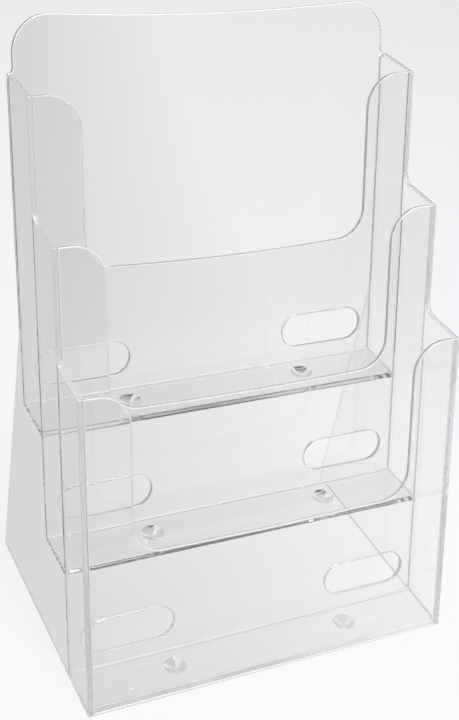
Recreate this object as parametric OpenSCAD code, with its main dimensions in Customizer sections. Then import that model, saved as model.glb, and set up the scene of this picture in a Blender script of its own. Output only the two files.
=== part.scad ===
// Three-tier magazine rack, cut from clear sheet and cemented edge to edge.
// Two stepped cheeks carry four leaning panels and three floors.
// X runs across the rack, -Y is the front, +Z is up.
// The origin is on the table, at the middle of the outer box.

/* [Overall] */
// Width over the two cheeks
rack_w = 240; // [190:1:320]
// Angle of the panels back from upright, in degrees
lean = 13; // [6:0.5:18]
// Level distance from one panel's front to the next panel's front
tier_pitch = 33.5; // [26:0.5:50]
// Height of each tier above the one in front
tier_rise = 64.5; // [50:0.5:78]
// Height of a tier's cheek top above the underside of its floor
cheek_h = 191; // [150:1:230]

/* [Sheet] */
// Thickness of the cheeks and panels
sheet_t = 3; // [2:0.25:4]
// Thickness of the floors
floor_t = 4; // [3:0.25:6]
// Thickness of the cement between two pieces
glue_line = 0.1; // [0.05:0.05:0.3]

/* [Cheeks] */
// Radius where a cheek's top edge runs up into the tier behind
step_r = 8; // [3:0.5:14]
// Level reach of the rear foot behind the back panel, on the table
foot_reach = 58; // [40:1:80]
// Height at which the foot's rear edge meets the back panel
foot_h = 178; // [140:1:220]
// Radius where the foot's rear edge meets the back panel
foot_r = 14; // [6:1:30]

/* [Pocket fronts] */
// Width of each wing, from the outside of the cheek to the cut-out
wing_w = 30.5; // [26:0.5:45]
// Radius of the wings' upper corners
wing_r = 20; // [8:0.5:21]
// Height of the lip under the cut-out, up the panel from the floor's underside
lip_h = 98; // [80:1:110]
// Radius of the cut-out's lower corners
cut_r = 18; // [8:0.5:24]
// Dip of the lip in the middle of the lower, middle and upper fronts
lip_dips = [0.6, 1, 1.8];

/* [Back panel] */
// Height of the back panel's rounded top above the cheeks, up the panel
back_rise = 31; // [24:0.5:60]
// Radius of the back panel's top corners
back_r = 21; // [10:0.5:23]
// Dip of the top edge in the middle
back_dip = 3.2; // [1:0.1:6]
// Thickness of the shoulders that sit on the cheeks
shoulder_t = 2; // [1.5:0.25:4]
// Radius between a shoulder and the back panel's side edge
shoulder_r = 2.5; // [1:0.25:2.5]

/* [Fixing slots] */
// Length of each slot, end to end
slot_l = 56.5; // [40:0.5:70]
// Height of each slot
slot_h = 21; // [12:0.5:26]
// Distance from a cheek's inside face to the nearest slot's end
slot_side = 8; // [4:0.5:16]
// Height of the slots' centres, up the panel from the floor's underside
slot_up = 23; // [20:0.5:40]

/* [Floor dimples] */
// Diameter of each conical dimple at the floor's surface
dimple_d = 14; // [8:0.5:18]
// Depth of each dimple
dimple_depth = 3.2; // [1.5:0.1:3.5]
// Distance between the centres of a pair of dimples
dimple_spacing = 117; // [80:1:160]
// Clear distance from the panel in front to a dimple's centre
dimple_back = 15.5; // [10:0.5:18]

/* [Hidden] */
$fn = 96;
long_arc_fn = 720; // the shallow dips are arcs of very large circles
tiers = 3;
overrun = 20;      // how far a cutting shape runs past what it cuts
bite = 2;          // how far a fillet runs into the plate behind it
sink = 0.002;      // how far an arc runs past where it touches, so that the two always cross

clear_plastic = [0.86, 0.89, 0.9, 0.45];

inner_half = rack_w / 2 - sheet_t; // from the middle to a cheek's inner face
plate_half = inner_half - glue_line;
wall_level = sheet_t / cos(lean);  // a panel's thickness measured level
cut_half = rack_w / 2 - wing_w;

function up_panel(z) = z / cos(lean);
// Underside of the floor and top of the cheeks of tier k, where 0 is the front tier
function tier_floor(k) = k * tier_rise;
function tier_top(k) = tier_floor(k) + cheek_h;
// Level place of panel k's front face at height z, before the origin is moved
function face_y(k, z) = k * tier_pitch + z * tan(lean);
// Side-view point on panel k: w up the panel, d behind its front face
function side_point(k, w, d) =
    [k * tier_pitch + w * sin(lean) + d * cos(lean), w * cos(lean) - d * sin(lean)];

back_top = up_panel(tier_top(tiers - 1)) + back_rise;
depth = side_point(tiers, back_top, sheet_t)[0];
foot_y = face_y(tiers, 0) + wall_level + foot_reach;

// ---- placing -------------------------------------------------------------

// Moves the front bottom edge to where the origin is under the middle of the box
module to_origin() {
    translate([0, -depth / 2, 0]) children();
}

// Stands a side-view outline (level, up) across the rack from x, thick wide
module across(x, thick) {
    translate([x, 0, 0]) rotate([90, 0, 90]) linear_extrude(thick) children();
}

// Stands a panel outline (x, up the panel) on the leaning plane k
module panel(k) {
    translate([0, k * tier_pitch, 0]) rotate([-lean, 0, 0])
        translate([0, sheet_t, 0]) rotate([90, 0, 0]) linear_extrude(sheet_t) children();
}

// Cuts what lies below height z off level
module cut_level(z) {
    difference() {
        children();
        translate([-rack_w, -overrun, z - overrun])
            cube([2 * rack_w, depth + 2 * overrun, overrun]);
    }
}

// ---- cheeks --------------------------------------------------------------

function unit(v) = v / norm(v);
// The part of b that is square to a
function square_to(a, b) = unit(b - (a * b) * a);

// Fills the corner at p between edges that leave it along a and b with a true arc
module corner_fill(p, a, b, r) {
    half_angle = acos(a * b) / 2;
    run = r / tan(half_angle);
    centre = p + unit(a + b) * r / sin(half_angle);
    difference() {
        polygon([centre, p + a * run, p + a * run - square_to(a, b) * bite,
            p - (a + b) * bite, p + b * run - square_to(b, a) * bite, p + b * run]);
        translate(centre) circle(r + sink);
    }
}

module cheek_outline() {
    up = [sin(lean), cos(lean)];
    foot_top = [face_y(tiers, foot_h) + wall_level, foot_h];
    foot_edge = unit([foot_y, 0] - foot_top);
    top = tier_top(tiers - 1);
    difference() {
        union() {
            polygon([
                [0, 0],
                [foot_y, 0],
                foot_top,
                [face_y(tiers, top) + wall_level, top],
                for (k = [tiers - 1 : -1 : 1], z = [tier_top(k), tier_top(k - 1)]) [face_y(k, z), z],
                [face_y(0, tier_top(0)), tier_top(0)]]);
            for (k = [1 : tiers - 1])
                corner_fill([face_y(k, tier_top(k - 1)), tier_top(k - 1)], [-1, 0], up, step_r);
            corner_fill(foot_top, up, foot_edge, foot_r);
        }
        shoulder_seat();
    }
}

// Notch in the cheek's top rear corner that the back panel's shoulder sits in
module shoulder_seat() {
    seat = up_panel(tier_top(tiers - 1)) - shoulder_t - glue_line;
    polygon([
        side_point(tiers, seat, -glue_line),
        side_point(tiers, seat, sheet_t + overrun),
        side_point(tiers, seat + overrun, sheet_t + overrun),
        side_point(tiers, seat + overrun, -glue_line)]);
}

module left_cheek() {
    color(clear_plastic) to_origin() across(-rack_w / 2, sheet_t) cheek_outline();
}

module right_cheek() {
    color(clear_plastic) to_origin() across(inner_half, sheet_t) cheek_outline();
}

// ---- panels --------------------------------------------------------------

// A pair of obround slots near the bottom of a tier's back wall
module slots(k) {
    flat_half = (slot_l - slot_h) / 2;
    slot_x = inner_half - slot_side - slot_l / 2;
    for (side = [-1, 1])
        translate([side * slot_x, up_panel(tier_floor(k)) + slot_up]) {
            for (end = [-1, 1]) translate([end * flat_half, 0]) circle(d = slot_h);
            square([2 * flat_half, slot_h], center = true);
        }
}

// A circle so large that its bottom, at height low, is a shallow dip.
// Two moves keep the bottom at low whatever rounding does to r.
module dip_circle(low, r) {
    translate([0, low]) translate([0, r]) circle(r, $fn = long_arc_fn);
}

// The opening between the wings: rounded below, dipped in the middle, flared at the top
module front_cut_out(lip, top, dip) {
    corner_x = cut_half - cut_r;
    centre_gap = (corner_x * corner_x + dip * dip) / (2 * dip);
    arc_r = centre_gap + cut_r;
    touch_x = corner_x * arc_r / centre_gap;
    corner_up = lip + cut_r;
    for (side = [-1, 1]) {
        translate([side * corner_x, corner_up]) circle(cut_r);
        translate([side * (cut_half + wing_r), top - wing_r + sink]) difference() {
            translate([side > 0 ? -wing_r - bite : 0, 0]) square([wing_r + bite, wing_r + overrun]);
            circle(wing_r);
        }
    }
    intersection() {
        dip_circle(lip - dip + sink, arc_r);
        translate([-touch_x, lip - 2 * dip]) square([2 * touch_x, cut_r + 2 * dip]);
    }
    translate([-cut_half, corner_up]) square([2 * cut_half, top + overrun - corner_up]);
}

// The front wall of tier k, whose foot is at tier foot_k's floor
module pocket_front_outline(k, foot_k) {
    low = up_panel(tier_floor(foot_k));
    top = up_panel(tier_top(k));
    difference() {
        translate([-plate_half, low]) square([2 * plate_half, top - low]);
        front_cut_out(up_panel(tier_floor(k)) + lip_h, top, lip_dips[k]);
        if (foot_k < k) slots(foot_k);
    }
}

module front_panel() {
    color(clear_plastic) to_origin()
        cut_level(tier_floor(0)) panel(0) pocket_front_outline(0, 0);
}

module lower_divider() {
    color(clear_plastic) to_origin()
        cut_level(tier_floor(0)) panel(1) pocket_front_outline(1, 0);
}

module upper_divider() {
    color(clear_plastic) to_origin()
        cut_level(tier_floor(1)) panel(2) pocket_front_outline(2, 1);
}

// Rounded top corners that run into one shallow dip
module back_top_outline(low) {
    corner_x = plate_half - back_r;
    arc_r = (corner_x * corner_x + back_dip * back_dip) / (2 * back_dip) - back_r;
    touch_x = corner_x * arc_r / (arc_r + back_r);
    corner_up = back_top - back_r;
    for (side = [-1, 1]) translate([side * corner_x, corner_up]) circle(back_r);
    translate([-plate_half, low]) square([2 * plate_half, corner_up - low]);
    difference() {
        translate([-touch_x, corner_up - bite]) square([2 * touch_x, back_r + bite]);
        dip_circle(back_top - back_dip - sink, arc_r);
    }
}

// The shoulders reach out over the cheeks and blend up into the side edges
module shoulders() {
    top = up_panel(tier_top(tiers - 1));
    translate([-rack_w / 2, top - shoulder_t]) square([rack_w, shoulder_t]);
    corner_fill([-plate_half, top], [-1, 0], [0, 1], shoulder_r);
    corner_fill([plate_half, top], [0, 1], [1, 0], shoulder_r);
}

module back_panel() {
    low = up_panel(tier_floor(tiers - 1));
    color(clear_plastic) to_origin() cut_level(tier_floor(tiers - 1)) panel(tiers)
        difference() {
            union() {
                back_top_outline(low);
                shoulders();
            }
            slots(tiers - 1);
        }
}

// ---- floors --------------------------------------------------------------

// The floor of tier k, bevelled front and back to meet the leaning panels
module tier_floor_plate(k) {
    low = tier_floor(k);
    high = low + floor_t;
    difference() {
        across(-plate_half, 2 * plate_half) polygon([
            [face_y(k, low) + wall_level + glue_line, low],
            [face_y(k + 1, low) - glue_line, low],
            [face_y(k + 1, high) - glue_line, high],
            [face_y(k, high) + wall_level + glue_line, high]]);
        for (side = [-1, 1])
            translate([side * dimple_spacing / 2, face_y(k, high) + wall_level + dimple_back,
                high - dimple_depth])
                cylinder(h = dimple_depth, d1 = 0, d2 = dimple_d);
    }
}

module upper_floor() {
    color(clear_plastic) to_origin() tier_floor_plate(2);
}

module middle_floor() {
    color(clear_plastic) to_origin() tier_floor_plate(1);
}

module lower_floor() {
    color(clear_plastic) to_origin() tier_floor_plate(0);
}

left_cheek();
right_cheek();
back_panel();
upper_divider();
lower_divider();
front_panel();
upper_floor();
middle_floor();
lower_floor();
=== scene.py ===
"""A clear three-tier magazine rack: looks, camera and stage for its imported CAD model."""
import math
from collections import namedtuple

import bpy
from mathutils import Euler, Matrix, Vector


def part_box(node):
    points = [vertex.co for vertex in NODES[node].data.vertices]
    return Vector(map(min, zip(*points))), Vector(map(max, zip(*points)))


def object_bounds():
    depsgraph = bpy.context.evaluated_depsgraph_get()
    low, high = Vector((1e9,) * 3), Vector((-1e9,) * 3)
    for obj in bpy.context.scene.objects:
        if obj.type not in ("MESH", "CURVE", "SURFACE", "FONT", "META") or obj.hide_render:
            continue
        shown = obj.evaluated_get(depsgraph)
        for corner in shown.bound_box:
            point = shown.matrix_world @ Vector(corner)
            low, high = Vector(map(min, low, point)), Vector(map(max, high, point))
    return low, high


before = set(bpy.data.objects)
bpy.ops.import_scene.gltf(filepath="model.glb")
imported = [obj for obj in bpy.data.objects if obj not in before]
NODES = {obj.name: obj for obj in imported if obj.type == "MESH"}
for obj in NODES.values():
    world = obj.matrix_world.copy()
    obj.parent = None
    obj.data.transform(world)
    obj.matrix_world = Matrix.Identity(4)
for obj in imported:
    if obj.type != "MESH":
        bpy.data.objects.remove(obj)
CAD_BOX = [list(corner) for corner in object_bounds()]
LOW, HIGH = (Vector(corner) for corner in CAD_BOX)
MIDDLE = (LOW + HIGH) / 2
MM = 0.001

# ---- the view ----------------------------------------------------------------
CAMERA_PLACE = (-0.3278, -0.5812, 0.5821)
CAMERA_TURN = (57.626, -6.155, -25.085)  # degrees about X, Y and Z
CAMERA_LENS = 66.17  # mm
CAMERA_SENSOR = 36  # mm high
CAMERA_SHIFT = (-0.0014, 0.0058)
CAMERA_NEAR = 0.01
BOUNCES = 64  # light crosses many faces of clear sheet

# ---- places in the rack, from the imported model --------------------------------
LEAN = math.radians(13)
TIERS = 3
FRONT_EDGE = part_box("front_panel")[0].y
TIER_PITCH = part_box("lower_divider")[0].y - FRONT_EDGE
TIER_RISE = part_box("middle_floor")[0].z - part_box("lower_floor")[0].z
FLOOR_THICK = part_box("lower_floor")[1].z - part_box("lower_floor")[0].z
CHEEK_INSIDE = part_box("right_cheek")[0].x
CHEEK_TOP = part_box("right_cheek")[1].z
SHEET_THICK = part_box("right_cheek")[1].x - CHEEK_INSIDE
WALL_LEVEL = SHEET_THICK / math.cos(LEAN)  # a panel's thickness measured level
PANEL_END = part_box("front_panel")[1].x
SLACK = 0.05 * MM
REAR = TIERS * TIER_PITCH + WALL_LEVEL  # from the front panel's front to the back panel's rear
DIMPLE = min(  # the lowest point of the lower floor's right dimple
    (v.co for v in NODES["lower_floor"].data.vertices if v.co.z > SLACK and v.co.x > 0),
    key=lambda point: point.z)

# Directions. A cheek's sheet is thin across, a panel's is thin leaning and a floor's upright
ACROSS = (1, 0, 0)
BACK = (0, 1, 0)
LEANING = (0, math.cos(LEAN), -math.sin(LEAN))
UPRIGHT = (0, 0, 1)
SQUARE_ON = 0.97  # a face is square to a direction above this cosine
ROUND_ON = 0.85  # a drilled dimple is between these two,
EDGE_ON = 0.3  # the round of an edge between these, and an edge below this one

# ---- the sheet ----------------------------------------------------------------
Look = namedtuple("Look", "tint roughness clarity")
FACE = Look(0.965, 0.0, 1.0)
FLOOR_FACE = Look(0.99, 0.0, 1.0)
POLISHED = Look(0.78, 0.12, 0.6)  # the edges of panels and floors
SAWN = Look(0.82, 0.2, 0.55)  # the edges of cheeks
SCRAPED = Look(0.95, 0.3, 0.15)  # the small round between an edge and a face, and the pale strip of painted highlight on a floor
DIMPLE_PAINTED_SHADE = Look(0.66, 0.0, 1.0)  # a dimple, tinted dark: painted shade
DIMPLE_PAINTED_GLINT = Look(0.98, 0.0, 0.15)  # painted glints: pale rays in a dimple
GLINT_RAYS = 3  # how many it has
GLINT_SPAN = (0.35, 0.85)  # a ray sets in where its wave is above the first of these
GLINT_GRAIN = 90.0  # the scale of the noise that makes them uneven
GLINT_UNEVEN = 1.6  # and how far it turns them, in radians
HIGHLIGHT_STRIP = 2.0 * MM  # a pale strip on a floor along the panel behind it: painted highlight
SHEET_IOR = 1.55
EDGE_BEVEL = 0.75 * MM
EDGE_SEGMENTS = 3
MERGE_DISTANCE = 0.001 * MM
FLAT_ANGLE = math.radians(0.5)
SHARP_ANGLE = math.radians(25)
LAMP_SHARE = (0.93, 0.93, 0.93, 1)  # what a face lets through to the floor
CLEAR = (1, 1, 1, 1)
CEMENT_END = 0.6  # what the cement at a panel's end lets through
FRONT_BAND_PAINTED_SHADE = (0.38, 0.55)  # painted shade: along a floor's front end the cement darkens, in streaks between these
PAINTED_LIGHT_SPANS = ((-75 * MM, -62 * MM), (-20 * MM, 90 * MM))  # and painted light clears it towards both ends
PAINTED_LIGHT_MORE = ((0.45, 0.0), (0.0, 0.4))  # by this much
LOWEST_BAND_PAINTED_SHADE = (0.75, 0.95)  # or these, a paler painted shade, for the lowest floor
CEMENT_STREAKS = 14.0  # the scale of the streaks' noise
STREAK_SPAN = (0.4, 0.6)  # a streak goes from the first value to the second between these

# ---- the stage ----------------------------------------------------------------
STAGE_COLOUR = (0.85, 0.85, 0.85, 1)
STAGE_SEEN = (1.0, 1.0, 1.0, 1)
STAGE_SHARE = 0.7  # how much of the floor's look is its own pale colour, not light and shade
SHEET_SHARE = 0.85  # and the same for how the sheet shows it
FLOOR_SIZE = 6.0
TABLE_WAY = (0.97, -0.24, 0)  # painted shadow: seen through the sheet, the table brightens this way, dark on the rack's left
TABLE_SPAN = (-0.2, 0.12)  # between these places
TABLE_PAINTED_SHADOW = (0.64, 0.98)  # from the first value to the second
FRONT_SPAN = (-1.5, -0.5)  # and likewise painted shade, from far in front of the rack to near it
FRONT_PAINTED_FALLOFF = (0.55, 1.0)
ROOM_SPAN = (0.0, 0.35)  # the room dims between these sines of elevation
ROOM = (0.42, 0.05)
BACKDROP_SPAN = (0.0, 0.4)  # to the eye, the backdrop goes from the far floor's tone
BACKDROP = (0.735, 0.95)  # to nearly white
LAMP_PLACE = (0.0, -0.5, 2.1)
LAMP_SIZE = (0.6, 0.6)
LAMP_POWER = 45


# ---- what the materials are built from ---------------------------------------------

class Tree:
    """A node tree, with short names for the nodes that the materials use most."""

    def __init__(self, owner, output="ShaderNodeOutputMaterial"):
        owner.use_nodes = True
        self.tree = owner.node_tree
        self.tree.nodes.clear()
        self.output = self.tree.nodes.new(output)

    def add(self, kind, **inputs):
        """A new node. Inputs are named in lower case with underscores, and take values or sockets."""
        node = self.tree.nodes.new(kind)
        for socket in node.inputs:
            name = socket.name.lower().replace(" ", "_")
            if name in inputs:
                self.put(inputs.pop(name), socket)
        if inputs:
            raise ValueError(f"{kind} has no inputs {sorted(inputs)}")
        return node

    def put(self, value, socket):
        if isinstance(value, bpy.types.NodeSocket):
            self.tree.links.new(value, socket)
        else:
            socket.default_value = value

    def maths(self, operation, *values):
        node = self.tree.nodes.new("ShaderNodeMath")
        node.operation = operation
        for socket, value in zip(node.inputs, values):
            self.put(value, socket)
        return node.outputs[0]

    def both(self, *tests):
        """The product, which is 1 where all the tests are 1."""
        result = tests[0]
        for test in tests[1:]:
            result = self.maths("MULTIPLY", result, test)
        return result

    def either(self, *tests):
        """The largest, which is 1 where any of the tests is 1."""
        result = tests[0]
        for test in tests[1:]:
            result = self.maths("MAXIMUM", result, test)
        return result

    def above(self, value, limit):
        return self.maths("GREATER_THAN", value, limit)

    def below(self, value, limit):
        return self.maths("LESS_THAN", value, limit)

    def size_of(self, value):
        return self.maths("ABSOLUTE", value)

    def along(self, vector, direction):
        """How far a vector reaches along a fixed direction."""
        node = self.tree.nodes.new("ShaderNodeVectorMath")
        node.operation = "DOT_PRODUCT"
        self.put(vector, node.inputs[0])
        node.inputs[1].default_value = direction
        return node.outputs["Value"]

    def blend(self, share, first, second):
        """The second shader by share, and the first by the rest."""
        node = self.tree.nodes.new("ShaderNodeMixShader")
        for socket, value in zip(node.inputs, (share, first, second)):
            self.put(value, socket)
        return node.outputs[0]

    def show(self, surface):
        """Sends a shader to the output."""
        self.put(surface, self.output.inputs["Surface"])


def fade(tree, value, span, levels):
    """From the first level to the second while a value runs through a span."""
    node = tree.add(
        "ShaderNodeMapRange", value=value, from_min=span[0], from_max=span[1],
        to_min=levels[0], to_max=levels[1])
    return node.outputs[0]


def new_material(name):
    material = bpy.data.materials.new(name)
    return material, Tree(material)


class Place:
    """Where a point of the surface is in the rack.

    Aside is its distance from the middle. Depth is measured level, from the plane that the
    front panel's front face leans in.
    """

    def __init__(self, tree):
        geometry = tree.add("ShaderNodeNewGeometry")
        self.normal = geometry.outputs["True Normal"]
        self.from_inside = geometry.outputs["Backfacing"]
        self.point = geometry.outputs["Position"]
        point = tree.add("ShaderNodeSeparateXYZ", vector=self.point)
        self.across = point.outputs["X"]
        self.aside = tree.size_of(self.across)
        self.height = point.outputs["Z"]
        behind_front = tree.maths("SUBTRACT", point.outputs["Y"], FRONT_EDGE - SLACK)
        lean = tree.maths("MULTIPLY", self.height, math.tan(LEAN))
        self.depth = tree.maths("SUBTRACT", behind_front, lean)
        # The tier is a whole number, 0 at the front. In a tier, depth_in starts at the front face
        # of its front wall, and height_in at the underside of its floor
        self.tier = tree.maths("FLOOR", tree.maths("DIVIDE", self.depth, TIER_PITCH))
        tier_start = tree.maths("MULTIPLY", self.tier, TIER_PITCH)
        self.depth_in = tree.maths("SUBTRACT", self.depth, tier_start)
        self.height_in = tree.maths("MULTIPLY_ADD", self.tier, -TIER_RISE, self.height)


def faces(tree, place, direction):
    """1 on faces that are square to a direction."""
    return tree.above(tree.size_of(tree.along(place.normal, direction)), SQUARE_ON)


# ---- joints ---------------------------------------------------------------------
# Cement fills each joint, so the two faces that meet in one don't bend or mirror light. The
# functions whose names end in joints give 1 on such faces, and the cement functions its tone, which along
# a floor's front is painted shade.

def ends(tree, place):
    """1 on the end faces of a panel or floor."""
    return tree.both(tree.above(place.aside, PANEL_END - SLACK), faces(tree, place, ACROSS))


def at_floor(tree, place, tier):
    """1 at the height of a tier's floor, where there is such a floor."""
    centre = tree.maths("MULTIPLY_ADD", tier, TIER_RISE, FLOOR_THICK / 2)
    away = tree.size_of(tree.maths("SUBTRACT", place.height, centre))
    is_tier = tree.both(tree.above(tier, -0.5), tree.below(tier, TIERS - 0.5))
    return tree.both(tree.below(away, FLOOR_THICK / 2 - EDGE_BEVEL), is_tier)


def foot_end(tree, place):
    """1 on the inner side of the rear edge of a cheek's foot, which is to show only faintly."""
    return tree.both(
        place.from_inside,
        tree.above(place.depth, REAR + EDGE_BEVEL),
        tree.below(tree.along(place.normal, BACK), -EDGE_ON))


def cheek_joints(tree, place):
    """On a cheek's inside, the ends of the walls and floors. The foot's end counts as one too."""
    inside = tree.both(
        tree.below(place.aside, CHEEK_INSIDE + SHEET_THICK / 2), faces(tree, place, ACROSS))
    wall_foot = tree.maths("MULTIPLY", tree.maths("SUBTRACT", place.tier, 1), TIER_RISE)
    wall = tree.both(
        tree.above(place.depth_in, EDGE_BEVEL),
        tree.below(place.depth_in, WALL_LEVEL - EDGE_BEVEL),
        tree.above(place.height, wall_foot),
        tree.below(place.tier, TIERS + 0.5))
    joint = tree.both(inside, tree.either(wall, at_floor(tree, place, place.tier)))
    return tree.either(joint, foot_end(tree, place))


def wall_joints(tree, place):
    """On a panel, its ends and the places where a floor meets its front or rear face."""
    end = tree.both(ends(tree, place), tree.below(place.height, CHEEK_TOP))
    on_front = tree.below(place.depth_in, WALL_LEVEL / 2)
    floor_tier = tree.maths("SUBTRACT", place.tier, on_front)
    seat = tree.both(faces(tree, place, LEANING), at_floor(tree, place, floor_tier))
    return tree.either(end, seat)


def floor_joints(tree, place):
    """On a floor, its ends and the bevels that meet the panels."""
    return tree.either(ends(tree, place), faces(tree, place, LEANING))


def wall_cement(tree, place):
    """How much light the cement at a panel's ends lets through."""
    return fade(tree, ends(tree, place), (0.0, 1.0), (1.0, CEMENT_END))


def floor_cement_painted_shade(tree, place):
    """How much light the cement between a floor and the panel in front of it lets through: painted shade
    in streaks, painted light towards both ends, and paler on the lowest floor.
    """
    streaks = tree.add("ShaderNodeTexNoise", vector=place.point, scale=CEMENT_STREAKS, detail=1.0)
    raised = tree.above(place.height, TIER_RISE / 2)
    lowest = tree.maths("SUBTRACT", 1.0, raised)
    front = fade(tree, streaks.outputs[0], STREAK_SPAN, FRONT_BAND_PAINTED_SHADE)
    for span, more in zip(PAINTED_LIGHT_SPANS, PAINTED_LIGHT_MORE):
        front = tree.maths("ADD", front, fade(tree, place.across, span, more))
    lowest_shade = fade(tree, streaks.outputs[0], STREAK_SPAN, LOWEST_BAND_PAINTED_SHADE)
    tone = tree.either(tree.both(raised, front), tree.both(lowest, lowest_shade))
    is_rear = tree.above(place.depth_in, TIER_PITCH / 2)
    return tree.either(tone, is_rear)


# ---- the sheet's materials --------------------------------------------------------

def plain_parts(tree, place, thin_way):
    """The parts of a sheet besides its faces, each 1 where it is."""
    squareness = tree.size_of(tree.along(place.normal, thin_way))
    outside = tree.maths("SUBTRACT", 1.0, place.from_inside)
    return {
        "dimple": tree.both(tree.below(squareness, SQUARE_ON), tree.above(squareness, ROUND_ON)),
        "round": tree.both(tree.below(squareness, ROUND_ON), tree.above(squareness, EDGE_ON)),
        "edge": tree.both(tree.below(squareness, EDGE_ON), outside)}


def painted_highlight_strip(tree, place):
    """1 on a floor's top, along the panel behind it: the strip of painted highlight."""
    on_top = tree.above(place.height_in, FLOOR_THICK - SLACK)
    return tree.both(on_top, tree.above(place.depth_in, TIER_PITCH - HIGHLIGHT_STRIP))


def painted_glint_rays(tree, place):
    """Between 0 and 1, in uneven rays round the centre of a dimple, where glints are painted."""
    back = tree.maths("MULTIPLY_ADD", place.height_in, math.tan(LEAN), place.depth_in)
    turn = tree.maths(
        "ARCTAN2", tree.maths("SUBTRACT", place.aside, DIMPLE.x),
        tree.maths("SUBTRACT", back, DIMPLE.y - FRONT_EDGE))
    grain = tree.add("ShaderNodeTexNoise", vector=place.point, scale=GLINT_GRAIN).outputs[0]
    uneven = tree.maths("MULTIPLY_ADD", grain, GLINT_UNEVEN, turn)
    wave = tree.maths("COSINE", tree.maths("MULTIPLY", uneven, GLINT_RAYS))
    return fade(tree, wave, GLINT_SPAN, (0.0, 1.0))


def floor_parts(tree, place, thin_way):
    """A floor's parts: the plain ones, with painted glints in rays in the dimples and the strip of
    painted highlight among the rounds.
    """
    parts = plain_parts(tree, place, thin_way)
    parts["round"] = tree.either(parts["round"], painted_highlight_strip(tree, place))
    parts["ray"] = tree.both(parts["dimple"], painted_glint_rays(tree, place))
    parts["dimple"] = tree.maths("SUBTRACT", parts["dimple"], parts["ray"])
    return parts


def by_part(tree, parts, looks, quality):
    """One quality of the sheet's looks: the faces' own, and on each other part that part's."""
    face_value = getattr(looks["face"], quality)
    result = face_value
    for name, part in parts.items():
        value = getattr(looks[name], quality)
        if value != face_value:
            result = tree.maths("MULTIPLY_ADD", part, value - face_value, result)
    return result


# Cheeks and panels have no dimples: what is as steep as one there belongs to a round
NO_DIMPLE = SCRAPED
Sheet = namedtuple("Sheet", "nodes thin_way parts looks joints cement is_smooth")
SHEETS = {
    "cheek_sheet": Sheet(
        ("left_cheek", "right_cheek"), ACROSS, plain_parts,
        {"face": FACE, "dimple": NO_DIMPLE, "round": SCRAPED, "edge": SAWN},
        cheek_joints, None, True),
    "wall_sheet": Sheet(
        ("back_panel", "upper_divider", "lower_divider", "front_panel"), LEANING, plain_parts,
        {"face": FACE, "dimple": NO_DIMPLE, "round": SCRAPED, "edge": POLISHED},
        wall_joints, wall_cement, True),
    "floor_sheet": Sheet(
        ("upper_floor", "middle_floor", "lower_floor"), UPRIGHT, floor_parts,
        {"face": FLOOR_FACE, "dimple": DIMPLE_PAINTED_SHADE, "ray": DIMPLE_PAINTED_GLINT, "round": SCRAPED, "edge": POLISHED},
        floor_joints, floor_cement_painted_shade, False),
}


def sheet_material(name, sheet):
    """Clear sheet: clear faces, duller edges, and joints that don't show."""
    material, tree = new_material(name)
    place = Place(tree)
    parts = sheet.parts(tree, place, sheet.thin_way)
    tint, roughness, clarity = (by_part(tree, parts, sheet.looks, each) for each in Look._fields)
    glass = tree.add(
        "ShaderNodeBsdfPrincipled", ior=SHEET_IOR, base_color=tint, roughness=roughness,
        transmission_weight=clarity)
    # along a floor's front, the cement's tone is painted shade
    tone = sheet.cement(tree, place) if sheet.cement else CLEAR
    cement = tree.add("ShaderNodeBsdfTransparent", color=tone)
    seen = tree.blend(sheet.joints(tree, place), glass.outputs[0], cement.outputs[0])
    lamp_stand_in = tree.add("ShaderNodeBsdfTransparent", color=LAMP_SHARE)
    rays = tree.add("ShaderNodeLightPath").outputs
    lamps = tree.either(rays["Is Shadow Ray"], rays["Is Diffuse Ray"])
    tree.show(tree.blend(lamps, seen, lamp_stand_in.outputs[0]))
    return material


def finish_edges(node):
    """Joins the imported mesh's split corners and flat triangles, and rounds its sharp edges a little."""
    weld = node.modifiers.new("weld", "WELD")
    weld.merge_threshold = MERGE_DISTANCE
    flat = node.modifiers.new("flat faces", "DECIMATE")
    flat.decimate_type = "DISSOLVE"
    flat.angle_limit = FLAT_ANGLE
    bevel = node.modifiers.new("polished edges", "BEVEL")
    bevel.width = EDGE_BEVEL
    bevel.segments = EDGE_SEGMENTS
    bevel.limit_method = "ANGLE"
    bevel.angle_limit = SHARP_ANGLE


def smooth_rounds(node):
    """Smooth shading, for pieces with rounds. It would hide the shallow cones in the floors."""
    for face in node.data.polygons:
        face.use_smooth = True
    node.modifiers.new("flat faces, smooth rounds", "WEIGHTED_NORMAL")


# ---- stage ------------------------------------------------------------------------

def stage_material():
    """Pale, and near white to the eye; it keeps shadows, and the sheet shows it a little dimmer, with
    painted shade.
    """
    material, tree = new_material("stage")
    point = tree.add("ShaderNodeNewGeometry").outputs["Position"]
    rays = tree.add("ShaderNodeLightPath").outputs
    in_sheet = tree.either(rays["Is Glossy Ray"], rays["Is Transmission Ray"])
    # painted shade: to the sheet, the table is darker on the rack's left, for its shadow, and darker far
    # in front
    level = tree.both(
        fade(tree, tree.along(point, TABLE_WAY), TABLE_SPAN, TABLE_PAINTED_SHADOW),
        fade(tree, tree.along(point, BACK), FRONT_SPAN, FRONT_PAINTED_FALLOFF))
    strength = tree.either(rays["Is Camera Ray"], tree.both(in_sheet, level))
    lit = tree.add("ShaderNodeBsdfDiffuse", color=STAGE_COLOUR)
    own = tree.add("ShaderNodeEmission", color=STAGE_SEEN, strength=strength)
    share = tree.either(
        tree.both(rays["Is Camera Ray"], STAGE_SHARE), tree.both(in_sheet, SHEET_SHARE))
    tree.show(tree.blend(share, lit.outputs[0], own.outputs[0]))
    return material


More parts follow.
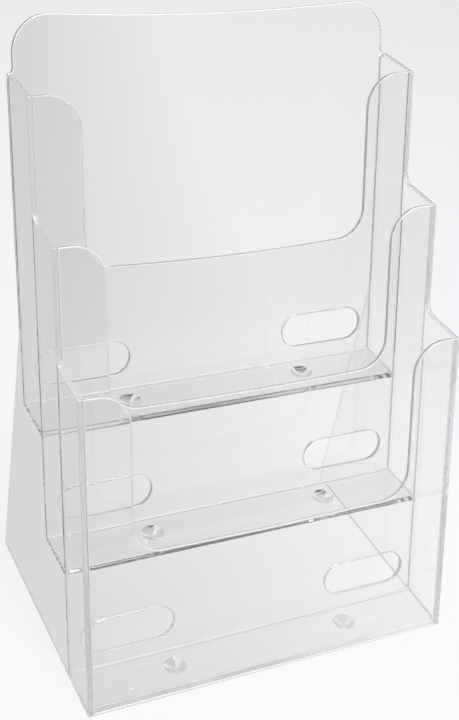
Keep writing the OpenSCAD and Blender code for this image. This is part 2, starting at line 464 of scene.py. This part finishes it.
def add_floor():
    mesh = bpy.data.meshes.new("floor")
    half = FLOOR_SIZE / 2
    corners = [(-half, -half, 0), (half, -half, 0), (half, half, 0), (-half, half, 0)]
    mesh.from_pydata(corners, [], [(0, 1, 2, 3)])
    mesh.materials.append(stage_material())
    floor = bpy.data.objects.new("floor", mesh)
    bpy.context.scene.collection.objects.link(floor)


def add_world():
    """A room that is dim overhead, and plain behind the rack to the eye."""
    world = bpy.data.worlds.new("studio")
    tree = Tree(world, "ShaderNodeOutputWorld")
    way = tree.add("ShaderNodeTexCoord").outputs["Generated"]
    room = fade(tree, tree.along(way, UPRIGHT), ROOM_SPAN, ROOM)
    studio = tree.add("ShaderNodeBackground", color=room, strength=1.0)
    backdrop = fade(tree, tree.along(way, UPRIGHT), BACKDROP_SPAN, BACKDROP)
    plain = tree.add("ShaderNodeBackground", color=backdrop, strength=1.0)
    is_camera = tree.add("ShaderNodeLightPath").outputs["Is Camera Ray"]
    tree.show(tree.blend(is_camera, studio.outputs[0], plain.outputs[0]))
    bpy.context.scene.world = world


def add_softbox(name, place, size, power):
    lamp = bpy.data.lights.new(name, "AREA")
    lamp.shape = "RECTANGLE"
    lamp.size, lamp.size_y = size
    lamp.energy = power
    softbox = bpy.data.objects.new(name, lamp)
    softbox.location = place
    softbox.rotation_euler = (MIDDLE - Vector(place)).to_track_quat("-Z", "Y").to_euler()
    bpy.context.scene.collection.objects.link(softbox)


def add_camera():
    lens = bpy.data.cameras.new("camera")
    lens.lens = CAMERA_LENS
    lens.sensor_fit = "VERTICAL"
    lens.sensor_height = CAMERA_SENSOR
    lens.shift_x, lens.shift_y = CAMERA_SHIFT
    lens.clip_start = CAMERA_NEAR
    camera = bpy.data.objects.new("camera", lens)
    camera.location = CAMERA_PLACE
    camera.rotation_euler = Euler([math.radians(angle) for angle in CAMERA_TURN], "XYZ")
    bpy.context.scene.collection.objects.link(camera)
    bpy.context.scene.camera = camera


def set_up_render():
    scene = bpy.context.scene
    scene.view_settings.view_transform = "Standard"
    scene.cycles.max_bounces = BOUNCES
    scene.cycles.transmission_bounces = BOUNCES
    scene.cycles.transparent_max_bounces = BOUNCES
    scene.cycles.glossy_bounces = BOUNCES
    scene.cycles.caustics_reflective = False
    scene.cycles.caustics_refractive = False


add_camera()
add_floor()
add_world()
add_softbox("key", LAMP_PLACE, LAMP_SIZE, LAMP_POWER)

for sheet_name, sheet in SHEETS.items():
    material = sheet_material(sheet_name, sheet)
    for name in sheet.nodes:
        NODES[name].data.materials.clear()
        NODES[name].data.materials.append(material)
        finish_edges(NODES[name])
        if sheet.is_smooth:
            smooth_rounds(NODES[name])

set_up_render()
